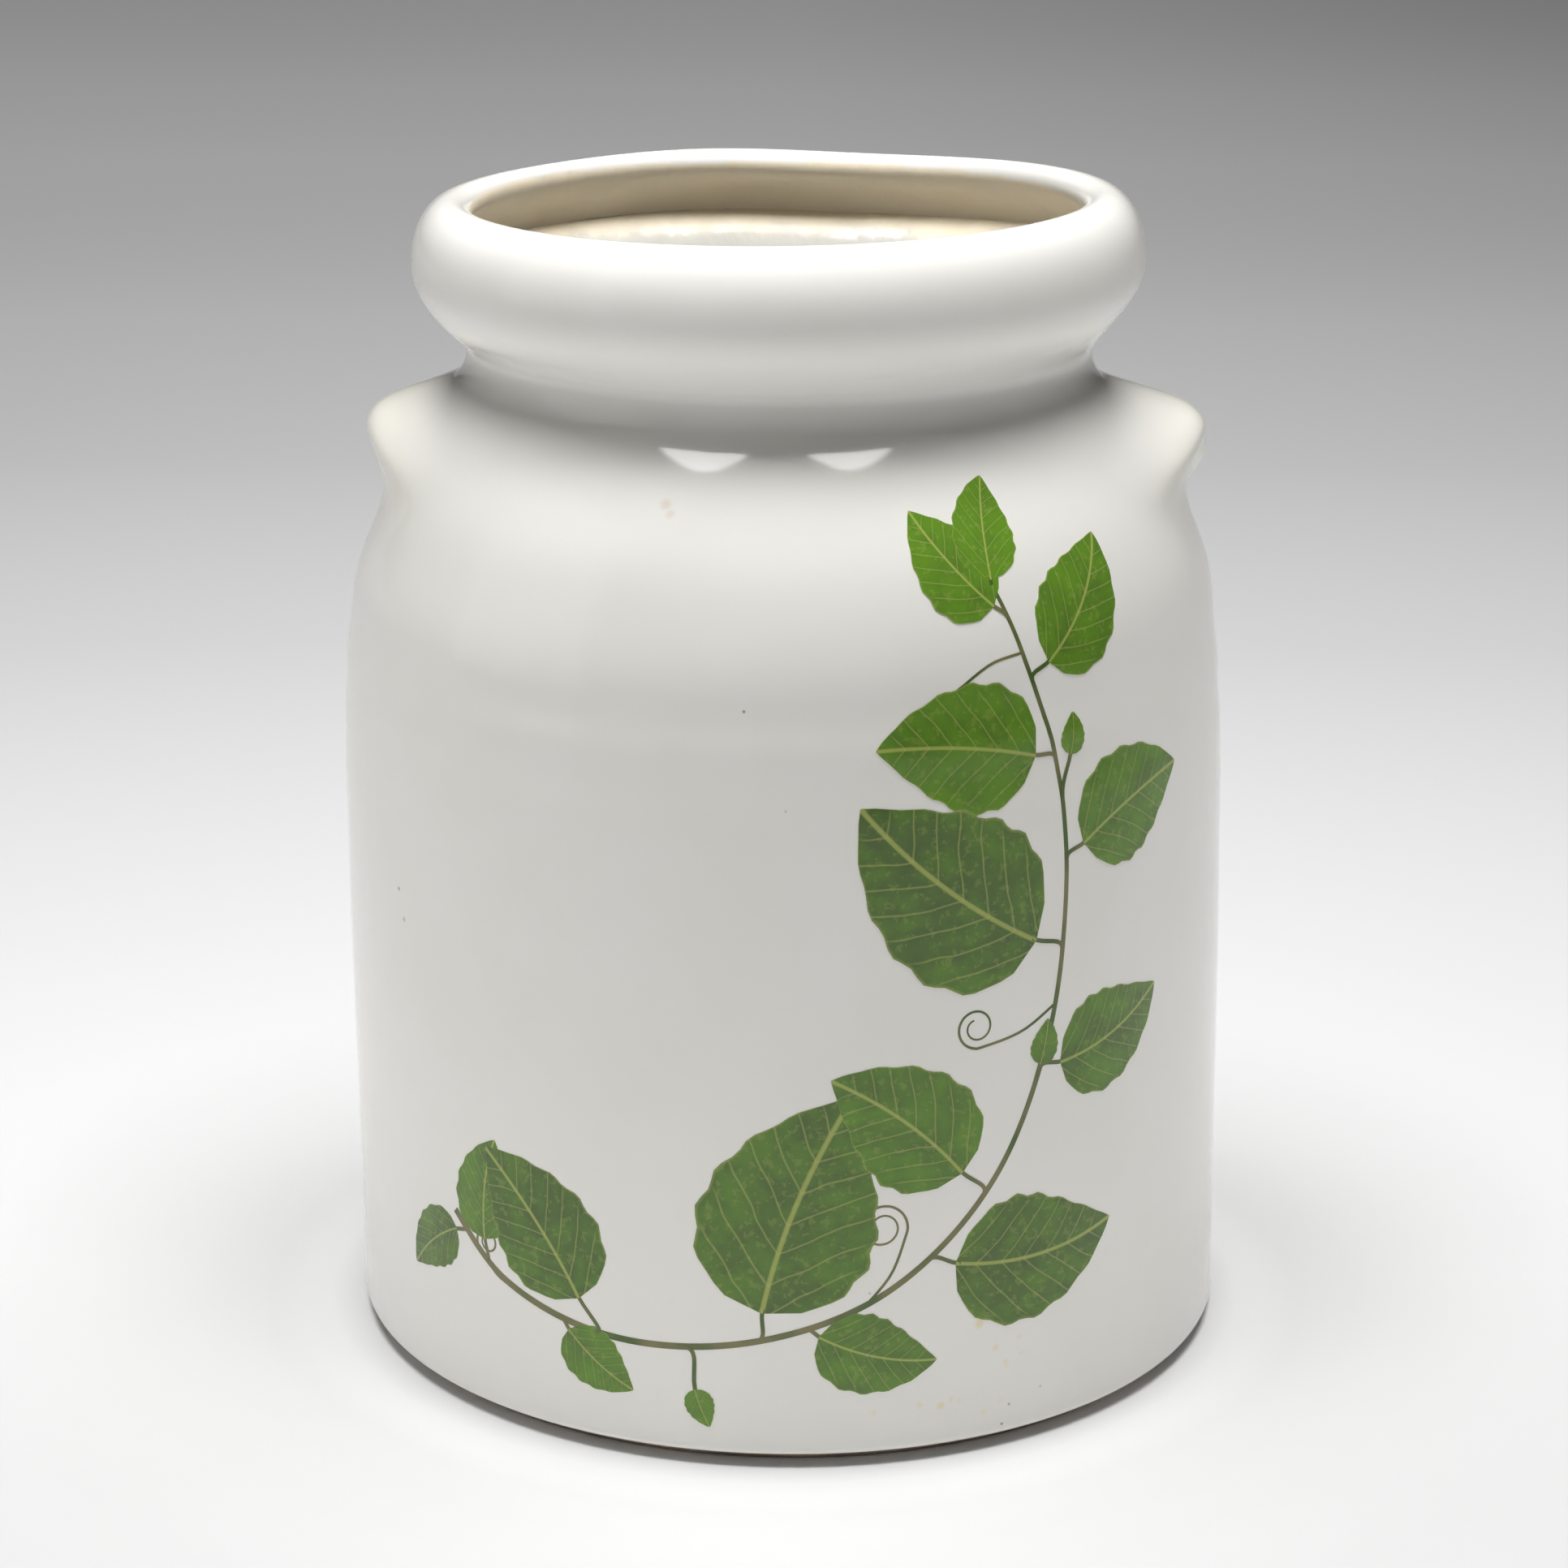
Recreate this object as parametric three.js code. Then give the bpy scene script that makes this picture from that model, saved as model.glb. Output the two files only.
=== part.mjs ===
// A one-gallon glazed crock, as a potter puts it together from clay sections:
// a let-in floor on a low foot ring, a straight wall, a rounded shoulder, a short neck collar,
// a hollow rolled rim and two lug ears luted onto the shoulder.
// Millimetres, +Z up. The origin is the centre of the face that the crock stands on.
import * as THREE from "three";

// Wall and shoulder. Heights above the wall are counted from the ears' ledge.
const bodyRadius = 89.2; // outside of the straight wall
const wallThickness = 6;
const heelRound = 1.8; // rounding of the wall's bottom outside edge
const earHeight = 186; // height of the ledge's fullest part
const shoulderAboveEars = 10.3;
const shoulderTop = earHeight + shoulderAboveEars; // where the shoulder's curve would meet the neck
const shoulderRise = 142.3; // height over which the wall turns in
const shoulderStart = shoulderTop - shoulderRise;
const shoulderPull = 104; // how far the straight wall's direction carries up from there
const shoulderDrop = 26.2; // how far below its top the curve still reaches out to the wall
const wallSeamDrop = 46.3;
const wallSeam = shoulderTop - wallSeamDrop; // where the shoulder is luted to the straight wall
const neckRadius = 61.75; // outside of the neck
const neckFillet = 8; // hollow between shoulder and neck
const collarAboveEars = 5;
const collarSeam = earHeight + collarAboveEars; // where the neck collar is luted to the shoulder

// Rim
const collarHeight = 8.8;
const rollSeam = collarSeam + collarHeight; // where the rolled rim is luted to the collar
const rollCurl = 3.9; // radius of the hollow under the roll
const rollFlare = 46.5; // degrees by which the roll's underside leans out
const rollBelow = 17; // height of the roll's lower half
const rollAbove = 13; // height of its upper half
const rollMiddle = rollSeam + rollBelow; // where the roll is fullest
const rollTop = rollMiddle + rollAbove;
const rollRadius = 71.9; // outside of the roll at its fullest
const rollFold = 4.8; // how far the fold under the hollow runs inwards before it turns down
const lipRadius = 3.2; // round of the lip's edge
const lipReach = 60.4; // inside radius of the mouth at the lip

// Floor and foot
const footHeight = 2.2;
const footSetback = 4.2; // how far the foot stands back under the wall
const footOuterRadius = bodyRadius - footSetback;
const footWidth = 9;
const footBevel = 0.5;
const floorThickness = 8;
const coveRadius = 4; // hollow between floor and wall, inside
const coveEdge = 0.8; // thickness of the cove's feathered edge
const luteGap = 0.3; // clay slip between two luted pieces

// Ears: a ledge that stands out of the shoulder, with a tongue that hangs down in its middle
const earRise = 7.4; // from the ledge's fullest part up to where its top joins the neck
const earDrop = 24; // from there down to where its underside joins the wall
const earSag = 10; // how much lower the ledge runs at its two ends
const earHalfAngle = 28; // degrees of the wall to each side of the ear's middle line
const earTaper = 28; // how far below the ledge the ear has narrowed to nothing
const earOffset = 3; // degrees that both ears sit behind the crock's sideways line
const earUndercut = 0.32; // part of the drop over which the underside falls away
const tongueDrop = 8.2;
const tongueHeight = earHeight - tongueDrop;
const tongueHalfHeight = 4.6;
const tongueHalfAngle = 5;
const earEdge = 0.5; // thickness of an ear's feathered edge
const leftEar = { ledge: 10.3, tongue: 1.6 };
const rightEar = { ledge: 12.4, tongue: 3.7 };

// Hand-made unevenness
const lean = 0.015; // sideways shift of every level, per millimetre of height
const leanPivot = 60; // the level that stays where it is
const sway = 0.85; // how far the shoulder sways back the other way
const swayDrop = 20; // how far below the ears' ledge it sways most
const swaySpan = 14;
const pinch = 1.7; // how far the clay is pressed in under each ear
const pinchDrop = 14.5; // how far below the ears' ledge that is deepest
const pinchSpan = 9.5;
const rimTilt = 0.0164; // rise of the rim's right side, per millimetre from the middle
const rimSaddle = 1.05; // how much higher the rim's two sides are than its front and back
const rimSettle = 7; // height at the roll's bottom over which the rim takes up its tilt

// Facets
const roundSegments = 60;
const straightStep = 50;
const shoulderStep = 8;
const filletStep = 2.2;
const earSegments = 36;
const earRings = 20;

const glaze = new THREE.MeshStandardMaterial({ color: 0xe4e3dd, roughness: 0.12, metalness: 0 });
const creamGlaze = new THREE.MeshStandardMaterial({ color: 0xded7c4, roughness: 0.14, metalness: 0 });
const bisque = new THREE.MeshStandardMaterial({ color: 0x9a8468, roughness: 0.85, metalness: 0 });

const shoulder = new THREE.CubicBezierCurve(
  new THREE.Vector2(bodyRadius, shoulderStart),
  new THREE.Vector2(bodyRadius, shoulderStart + shoulderPull),
  new THREE.Vector2(bodyRadius, shoulderTop - shoulderDrop),
  new THREE.Vector2(neckRadius, shoulderTop),
);

// Where a value that grows from below zero to above zero passes zero, by halving.
function findZero(value, low, high) {
  for (let i = 0; i < 40; i++) {
    const middle = (low + high) / 2;
    if (value(middle) < 0) low = middle;
    else high = middle;
  }
  return low;
}

function shoulderRadius(z) {
  if (z <= shoulderStart) return bodyRadius;
  if (z >= shoulderTop) return neckRadius;
  return shoulder.getPoint(findZero((t) => shoulder.getPoint(t).y - z, 0, 1)).x;
}

function slopeOf(radius, z) {
  const step = 0.05;
  return (radius(z + step) - radius(z - step)) / (2 * step);
}

// The fillet touches the shoulder at its start and the upright neck at its end.
const filletStart = findZero((z) => {
  const sideways = neckFillet / Math.hypot(1, slopeOf(shoulderRadius, z));
  return neckRadius + neckFillet - shoulderRadius(z) - sideways;
}, shoulderTop - shoulderDrop, shoulderTop - 0.1);
const filletSlope = slopeOf(shoulderRadius, filletStart);
const filletEnd = filletStart - (neckFillet * filletSlope) / Math.hypot(1, filletSlope);
const heelTop = footHeight + heelRound;

// Outside radius of the wall and the neck at a height.
function outerRadius(z) {
  if (z < heelTop) {
    const below = Math.min(1, (heelTop - z) / heelRound);
    return bodyRadius - heelRound * (1 - Math.sqrt(1 - below ** 2));
  }
  if (z < filletStart) return shoulderRadius(z);
  if (z < filletEnd) return neckRadius + neckFillet - Math.sqrt(neckFillet ** 2 - (filletEnd - z) ** 2);
  return neckRadius;
}

// Inside radius: the same thickness of clay, measured square to the slope.
function innerRadius(z) {
  const aboveHeel = Math.max(z, heelTop + 0.1);
  const acrossSlope = wallThickness * Math.hypot(1, slopeOf(outerRadius, aboveHeel));
  return Math.max(outerRadius(aboveHeel) - acrossSlope, neckRadius - wallThickness);
}

// Heights from low to high, close together where the profile bends tightly.
function heights(low, high) {
  const list = [];
  let z = low;
  while (z < high - filletStep / 2) {
    list.push(z);
    if (z < heelTop - 0.01) z += heelRound / 3;
    else if (z < shoulderStart) z = Math.min(z + straightStep, shoulderStart);
    else if (z < shoulderStart + straightStep) z += straightStep / 2;
    else if (z < filletStart - shoulderStep) z += shoulderStep;
    else z += filletStep;
  }
  list.push(high);
  return list;
}

// Every level of the crock is shifted sideways a little, the clay is pressed in under the ears,
// and the rim is tilted and warped a little.
function settle(geometry) {
  const spots = geometry.getAttribute("position");
  for (let i = 0; i < spots.count; i++) {
    const x = spots.getX(i);
    const z = spots.getZ(i);
    const swaying = sway * Math.exp(-(((z - earHeight + swayDrop) / swaySpan) ** 2));
    const sideways = x / Math.max(1, Math.hypot(x, spots.getY(i)));
    const pressed = pinch * Math.exp(-(((z - earHeight + pinchDrop) / pinchSpan) ** 2)) * sideways ** 9;
    const share = THREE.MathUtils.smoothstep(z, rollSeam, rollSeam + rimSettle);
    const lift = share * (rimTilt * x + rimSaddle * (x / rollRadius) ** 4);
    spots.setXYZ(i, x - lean * (z - leanPivot) + swaying - pressed, spots.getY(i), z + lift);
  }
  return geometry;
}

function spin(profile) {
  return settle(new THREE.LatheGeometry(profile, roundSegments).rotateX(Math.PI / 2));
}

// A band of the wall between two level seams.
function wallBand(low, high) {
  const outside = heights(low, high).map((z) => new THREE.Vector2(outerRadius(z), z));
  const inside = heights(low, high).map((z) => new THREE.Vector2(innerRadius(z), z));
  return spin([...outside, ...inside.reverse(), outside[0]]);
}

// The roll is one folded wall: full and round outside, hollow inside, with a rounded lip.
function rolledRim() {
  const neckOutside = outerRadius(rollSeam);
  const hollowRadius = rollRadius - wallThickness;
  const lipMiddle = rollTop - lipRadius;
  const curlMiddle = neckOutside + rollCurl;
  const flare = THREE.MathUtils.degToRad(rollFlare);
  const outward = new THREE.Vector2(Math.sin(flare), Math.cos(flare));
  const shape = new THREE.Shape();
  shape.moveTo(neckOutside, rollSeam);
  shape.absarc(curlMiddle, rollSeam, rollCurl, Math.PI, Math.PI - flare, true);
  const under = outward.clone().multiplyScalar(rollBelow * 0.23).add(shape.currentPoint);
  shape.bezierCurveTo(
    under.x, under.y,
    rollRadius, rollMiddle - rollBelow * 0.385,
    rollRadius, rollMiddle,
  );
  shape.bezierCurveTo(
    rollRadius, rollMiddle + rollAbove * 0.55,
    lipReach + lipRadius + rollAbove * 0.35, rollTop,
    lipReach + lipRadius, rollTop,
  );
  shape.absarc(lipReach + lipRadius, lipMiddle, lipRadius, Math.PI / 2, Math.PI, false);
  shape.bezierCurveTo(
    lipReach, lipMiddle - rollAbove * 0.25,
    hollowRadius, rollMiddle + rollAbove * 0.35,
    hollowRadius, rollMiddle,
  );
  const neckInside = innerRadius(rollSeam);
  shape.bezierCurveTo(
    hollowRadius - rollFold, rollMiddle - rollBelow * 0.04,
    neckInside, rollSeam + rollBelow * 0.6,
    neckInside, rollSeam,
  );
  const outline = shape.getPoints(4);
  return spin([...outline, outline[0]]);
}

function letInFloor() {
  const edge = innerRadius(footHeight) - luteGap;
  const top = footHeight + floorThickness;
  const outline = new THREE.Path();
  outline.moveTo(0, footHeight);
  outline.lineTo(edge, footHeight);
  outline.lineTo(edge, top + coveRadius);
  outline.lineTo(edge - coveEdge, top + coveRadius);
  outline.absarc(edge - coveEdge - coveRadius, top + coveRadius, coveRadius, 0, -Math.PI / 2, true);
  outline.lineTo(0, top);
  return spin(outline.getPoints(4));
}

function footRing() {
  const inner = footOuterRadius - footWidth;
  return spin([
    new THREE.Vector2(inner + footBevel, 0),
    new THREE.Vector2(footOuterRadius - footBevel, 0),
    new THREE.Vector2(footOuterRadius, footBevel),
    new THREE.Vector2(footOuterRadius, footHeight),
    new THREE.Vector2(inner, footHeight),
    new THREE.Vector2(inner, footBevel),
    new THREE.Vector2(inner + footBevel, 0),
  ]);
}

// How far an ear stands out of the wall, at an angle from its middle line and a height.
function earSwell(degrees, z, ear) {
  const middle = earHeight - earSag * (degrees / earHalfAngle) ** 2;
  const rise = Math.max(0, z - middle) / earRise;
  const fall = Math.max(0, middle - z) / earDrop;
  if (rise >= 1 || fall >= 1) return 0;
  const narrowing = (Math.max(0, earHeight - 4 - z) / earTaper) ** 1.5;
  const across = Math.abs(degrees) / (earHalfAngle * Math.max(0.05, 1 - narrowing));
  if (across >= 1) return 0;
  const upright = (1 - rise ** 2.5) ** 2 * ((1 - fall ** 2) ** 2 / (1 + (fall / earUndercut) ** 2));
  const ledge = ear.ledge * upright * (1 - across ** 2.5) ** 2;
  const droop = ((z - tongueHeight) / tongueHalfHeight) ** 2;
  return ledge + ear.tongue * Math.exp(-droop - (degrees / tongueHalfAngle) ** 2);
}

// A lens of clay bent onto the shoulder: one half of a ball's skin becomes the ear's outside,
// the other half the face that is luted to the wall.
function earLug(ear, turn) {
  const ball = new THREE.SphereGeometry(1, earSegments, earRings);
  ball.deleteAttribute("normal");
  ball.deleteAttribute("uv");
  ball.rotateZ(Math.PI / 2);
  const thinnest = luteGap + earEdge;
  const spots = ball.getAttribute("position");
  for (let i = 0; i < spots.count; i++) {
    const heading = Math.atan2(spots.getZ(i), spots.getY(i));
    const alongAngle = Math.cos(heading) * earHalfAngle;
    const alongHeight = Math.sin(heading) * (spots.getZ(i) > 0 ? earRise : earDrop + earSag);
    const swellAt = (share) => earSwell(share * alongAngle, earHeight + share * alongHeight, ear);
    const reach = findZero((share) => thinnest - swellAt(share), 0, 1);
    const outward = Math.min(1, Math.acos(Math.min(1, Math.abs(spots.getX(i)))) / (Math.PI / 2));
    const share = outward * reach;
    const z = earHeight + share * alongHeight;
    const swell = spots.getX(i) > -1e-6 ? Math.max(swellAt(share), thinnest) : luteGap;
    const radius = outerRadius(z) + swell;
    const angle = THREE.MathUtils.degToRad(share * alongAngle + turn);
    spots.setXYZ(i, radius * Math.cos(angle), radius * Math.sin(angle), z);
  }
  return settle(ball);
}

function piece(name, geometry, material) {
  const mesh = new THREE.Mesh(geometry, material.clone());
  mesh.name = name;
  return mesh;
}

const crock = new THREE.Group();
crock.add(piece("foot_ring", footRing(), bisque));
crock.add(piece("floor_disc", letInFloor(), creamGlaze));
crock.add(piece("body_wall", wallBand(footHeight, wallSeam), glaze));
crock.add(piece("shoulder", wallBand(wallSeam, collarSeam), glaze));
crock.add(piece("neck_collar", wallBand(collarSeam, rollSeam), glaze));
crock.add(piece("rolled_rim", rolledRim(), glaze));
crock.add(piece("ear_right", earLug(rightEar, earOffset), glaze));
crock.add(piece("ear_left", earLug(leftEar, 180 - earOffset), glaze));

export default crock;
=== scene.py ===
import bisect
import functools
import math

import bmesh
import bpy
from mathutils import Matrix, Vector, noise


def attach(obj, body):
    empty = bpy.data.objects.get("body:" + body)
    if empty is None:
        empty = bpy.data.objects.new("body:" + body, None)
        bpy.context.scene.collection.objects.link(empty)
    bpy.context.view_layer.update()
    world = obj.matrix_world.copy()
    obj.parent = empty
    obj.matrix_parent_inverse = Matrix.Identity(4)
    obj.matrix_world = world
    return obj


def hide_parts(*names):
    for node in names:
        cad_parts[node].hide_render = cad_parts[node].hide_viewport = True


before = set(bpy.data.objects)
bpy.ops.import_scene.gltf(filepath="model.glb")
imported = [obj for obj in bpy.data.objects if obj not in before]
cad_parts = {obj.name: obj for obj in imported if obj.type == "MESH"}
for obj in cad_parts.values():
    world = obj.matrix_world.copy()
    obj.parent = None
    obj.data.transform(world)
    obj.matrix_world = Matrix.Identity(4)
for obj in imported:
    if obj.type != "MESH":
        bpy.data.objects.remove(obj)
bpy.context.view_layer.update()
mm = 0.001
weld = {"metres": 1e-7, "millimetres": 1e-5}  # points this close become one

# the crock's own sizes, in millimetres, the same as in the solids
crock = {
    "bodyRadius": 89.2,
    "wallThickness": 6,
    "heelRound": 1.8,
    "shoulderTop": 196.3,
    "shoulderStart": 54,
    "shoulderPull": 104,
    "shoulderDrop": 26.2,
    "neckRadius": 61.75,
    "neckFillet": 8,
    "rollRadius": 71.9,
    "wallSeam": 150,
    "collarSeam": 191,
    "rollSeam": 199.8,
    "footHeight": 2.2,
    "lean": 0.015,
    "leanPivot": 60,
    "sway": 0.85,
    "swayHeight": 166,
    "swaySpan": 14,
    "pinch": 1.7,
    "pinchHeight": 171.5,
    "pinchSpan": 9.5,
    "pinchPower": 9,
    "rimTilt": 0.0164,
    "rimSaddle": 1.05,
    "saddlePower": 4,
    "rimSettle": 7,
    "turns": 240,  # faces round the crock
    "seamStrip": 0.05,  # narrow strip beside a seam, which keeps the shading even across it
    "margin": 0.1,  # kept from the end of a curve when a height on it is looked for
}


def findZero(value, low, high, halvings=50):
    for _ in range(halvings):
        middle = (low + high) / 2
        if value(middle) < 0:
            low = middle
        else:
            high = middle
    return low


def bezier(points, t):
    a, b, c, d = (1 - t) ** 3, 3 * t * (1 - t) ** 2, 3 * t * t * (1 - t), t ** 3
    return tuple(a * p + b * q + c * r + d * s for p, q, r, s in zip(*points))


def smooth(value, low, high):
    t = min(1, max(0, (value - low) / (high - low)))
    return t * t * (3 - 2 * t)


def bell(value, middle, half):
    return math.exp(-(((value - middle) / half) ** 2))


def around(angle, radius, z):
    # place on a circle, where noise joins up with itself round the crock
    return Vector((math.cos(angle) * radius, math.sin(angle) * radius, z))


shoulderCurve = (
    (crock["bodyRadius"], crock["shoulderStart"]),
    (crock["bodyRadius"], crock["shoulderStart"] + crock["shoulderPull"]),
    (crock["bodyRadius"], crock["shoulderTop"] - crock["shoulderDrop"]),
    (crock["neckRadius"], crock["shoulderTop"]),
)


@functools.cache
def shoulderRadius(z):
    if z <= crock["shoulderStart"]:
        return crock["bodyRadius"]
    if z >= crock["shoulderTop"]:
        return crock["neckRadius"]
    return bezier(shoulderCurve, findZero(lambda t: bezier(shoulderCurve, t)[1] - z, 0, 1))[0]


def slopeOf(radius, z, step=0.05):
    return (radius(z + step) - radius(z - step)) / (2 * step)


def filletMiss(z):
    sideways = crock["neckFillet"] / math.hypot(1, slopeOf(shoulderRadius, z))
    return crock["neckRadius"] + crock["neckFillet"] - shoulderRadius(z) - sideways


filletStart = findZero(
    filletMiss,
    crock["shoulderTop"] - crock["shoulderDrop"],
    crock["shoulderTop"] - crock["margin"],
)
filletSlope = slopeOf(shoulderRadius, filletStart)
filletEnd = filletStart - crock["neckFillet"] * filletSlope / math.hypot(1, filletSlope)
heelTop = crock["footHeight"] + crock["heelRound"]


@functools.cache
def outerRadius(z):
    if z < heelTop:
        below = min(1, (heelTop - z) / crock["heelRound"])
        return crock["bodyRadius"] - crock["heelRound"] * (1 - math.sqrt(1 - below ** 2))
    if z < filletStart:
        return shoulderRadius(z)
    if z < filletEnd:
        hollow = crock["neckFillet"]
        return crock["neckRadius"] + hollow - math.sqrt(hollow ** 2 - (filletEnd - z) ** 2)
    return crock["neckRadius"]


@functools.cache
def innerRadius(z):
    aboveHeel = max(z, heelTop + crock["margin"])
    thick = crock["wallThickness"]
    reach = outerRadius(aboveHeel) - thick * math.hypot(1, slopeOf(outerRadius, aboveHeel))
    return max(reach, crock["neckRadius"] - thick)


def settled(x, y, z):
    # from a point of the true, upright crock, in millimetres, to where the clay settled, in metres
    swaying = crock["sway"] * bell(z, crock["swayHeight"], crock["swaySpan"])
    pressed = crock["pinch"] * bell(z, crock["pinchHeight"], crock["pinchSpan"])
    pressed *= (x / max(1, math.hypot(x, y))) ** crock["pinchPower"]
    share = smooth(z, crock["rollSeam"], crock["rollSeam"] + crock["rimSettle"])
    saddle = crock["rimSaddle"] * (x / crock["rollRadius"]) ** crock["saddlePower"]
    lift = share * (crock["rimTilt"] * x + saddle)
    shift = swaying - pressed - crock["lean"] * (z - crock["leanPivot"])
    return Vector(((x + shift) * mm, y * mm, (z + lift) * mm))


# soft rings that the fingers left in the turning clay, in millimetres
throwing = {
    # height, reach and half width
    "rings": [
        (60, 0.05, 9), (84, 0.06, 7), (104, -0.06, 5), (118, 0.07, 5), (129, 0.10, 3.5), (135.5, -0.10, 3),
        (141.5, 0.09, 2.6), (147.5, -0.13, 3.6), (156, 0.11, 5), (167, -0.06, 4), (176, 0.05, 4),
    ],
    "wander": (1.6, 0.8),  # how far the rings run up and down, once and twice round
    "wanderTurn": 0.02,  # by how much they run on from one height to the next
    "waver": 0.03,  # slow swelling round and up the wall
    "waverRound": 3.2,
    "waverScale": 26,
    "trim": 0.16,  # the whole skin lies that much further in, to stay inside the solids' box
    "start": (5, 30),
    "end": (186, 200),
}


def handMarks(angle, z):
    waver = noise.noise(around(angle, throwing["waverRound"], z / throwing["waverScale"])) * throwing["waver"]
    once, twice = throwing["wander"]
    wander = once * math.sin(angle + z * throwing["wanderTurn"]) + twice * math.sin(2 * angle + 1)
    marks = sum(reach * bell(z + wander, height, half) for height, reach, half in throwing["rings"])
    share = smooth(z, *throwing["start"])
    return (marks + waver - throwing["trim"]) * share * (1 - smooth(z, *throwing["end"]))


# ears: how far they stand out, over the angle from each one's middle line and the height
ears = {
    "height": 186,
    "rise": 7.8,
    "risePower": 2.5,
    "riseEase": 2.3,
    "drop": 24,
    "undercut": 0.32,
    "sag": 14,
    "sagAngle": 48,
    "fadeAngle": 30,
    "halfAngle": 44,
    "edgePower": 4,
    "taper": 28,
    "taperStart": 4,
    "taperPower": 1.5,
    "narrowest": 0.05,
    "tongueHeight": 177.8,
    "tongueHalfHeight": 4.6,
    "tongueHalfAngle": 5,
    "tongueEdge": 4,
    "right": {"ledge": 12.4, "tongue": 3.7, "turn": 3},
    "left": {"ledge": 10.3, "tongue": 1.6, "turn": 177},
    "thinnest": 0.0005,  # where the clay is thinner, the ear ends
    "sunk": 1.2,  # how deep its back is let into the wall
    "room": 0.6,  # share of an ear's reach by which the wall gives way behind it
    "roomLimit": 1.5,
    "round": 128,
    "rings": 72,
}


def earSwell(degrees, z, ear):
    middle = ears["height"] - ears["sag"] * (1 - (1 - (degrees / ears["sagAngle"]) ** 2) ** 2)
    rise = max(0, z - middle) / (ears["rise"] * (1 + (degrees / ears["fadeAngle"]) ** 2))
    fall = max(0, middle - z) / ears["drop"]
    if rise >= 1 or fall >= 1:
        return 0
    narrowing = (max(0, ears["height"] - ears["taperStart"] - z) / ears["taper"]) ** ears["taperPower"]
    across = abs(degrees) / (ears["halfAngle"] * max(ears["narrowest"], 1 - narrowing))
    if across >= 1:
        return 0
    upright = (1 - rise ** ears["risePower"]) ** ears["riseEase"] * (1 - fall ** 2) ** 2
    upright /= 1 + (fall / ears["undercut"]) ** 2
    edge = (1 - across ** 2) ** ears["edgePower"]
    droop = ((z - ears["tongueHeight"]) / ears["tongueHalfHeight"]) ** 2
    tongue = ear["tongue"] * math.exp(-droop - (degrees / ears["tongueHalfAngle"]) ** 2)
    return ear["ledge"] * upright * edge + tongue * min(1, edge * ears["tongueEdge"])


def swellUnder(angle, z):
    best = 0
    for ear in (ears["right"], ears["left"]):
        degrees = (math.degrees(angle) - ear["turn"] + 180) % 360 - 180
        if abs(degrees) < ears["halfAngle"]:
            best = max(best, earSwell(degrees, z, ear))
    return best


def skin(angle, z, proud=0):
    # a point of the outside glaze, or that far above it
    radius = outerRadius(z) + handMarks(angle, z) + proud
    return settled(radius * math.cos(angle), radius * math.sin(angle), z)


def frontSkin(across, z, proud=0):
    # the same on the front, that far round to the right of the middle
    return skin(across / crock["bodyRadius"] - math.pi / 2, z, proud)


def addPiece(name, bm, materials, nodes=(), sharpness=35):
    bmesh.ops.remove_doubles(bm, verts=bm.verts, dist=weld["metres"])
    for face in bm.faces:
        face.smooth = True
    for edge in bm.edges:
        if len(edge.link_faces) == 2 and edge.calc_face_angle(0) > math.radians(sharpness):
            edge.smooth = False
    mesh = bpy.data.meshes.new(name)
    bm.to_mesh(mesh)
    bm.free()
    for material in materials:
        mesh.materials.append(material)
    piece = bpy.data.objects.new(name, mesh)
    bpy.context.scene.collection.objects.link(piece)
    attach(piece, "root")
    if nodes:
        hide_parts(*nodes)
    print(name, len(mesh.vertices), "points")
    return piece


def spin(bm, outline, isClosed, steps):
    # outline of radius and height, turned once round
    verts = [bm.verts.new((radius, 0, z)) for radius, z in outline]
    following = verts[1:] + (verts[:1] if isClosed else [])
    edges = [bm.edges.new(pair) for pair in zip(verts, following)]
    bmesh.ops.spin(bm, geom=verts + edges, cent=(0, 0, 0), axis=(0, 0, 1), angle=math.tau, steps=steps,
                   use_merge=True)
    bmesh.ops.remove_doubles(bm, verts=bm.verts, dist=weld["millimetres"])


def spunBand(outside, inside):
    # closed ring of clay: up the outside and down the inside
    bm = bmesh.new()
    spin(bm, outside + inside, True, crock["turns"])
    bmesh.ops.recalc_face_normals(bm, faces=bm.faces)
    return bm


def levels(low, high, step):
    strip = crock["seamStrip"]
    count = max(2, round((high - low) / step))
    found = [low, low + strip, high - strip, high]
    return sorted(found + [low + (high - low) * i / count for i in range(1, count)])


def shapeWall(bm, halfway):
    # hand marks and the room behind the ears on the outside, then lean, sway and tilt
    for vert in bm.verts:
        x, y, z = vert.co
        radius = math.hypot(x, y)
        if radius > halfway(z):
            angle = math.atan2(y, x)
            room = ears["room"] * min(ears["roomLimit"], swellUnder(angle, z))
            moved = radius + handMarks(angle, z) - room
            x, y = x * moved / radius, y * moved / radius
        vert.co = settled(x, y, z)
    bmesh.ops.recalc_face_normals(bm, faces=bm.faces)


def paintInside(bm, halfway):
    # second material on the inside faces
    for face in bm.faces:
        middle = face.calc_center_median()
        if math.hypot(middle.x, middle.y) < halfway(middle.z):
            face.material_index = 1


def halfWall(z):
    z = round(z, 2)
    return (outerRadius(z) + innerRadius(z)) / 2


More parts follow.
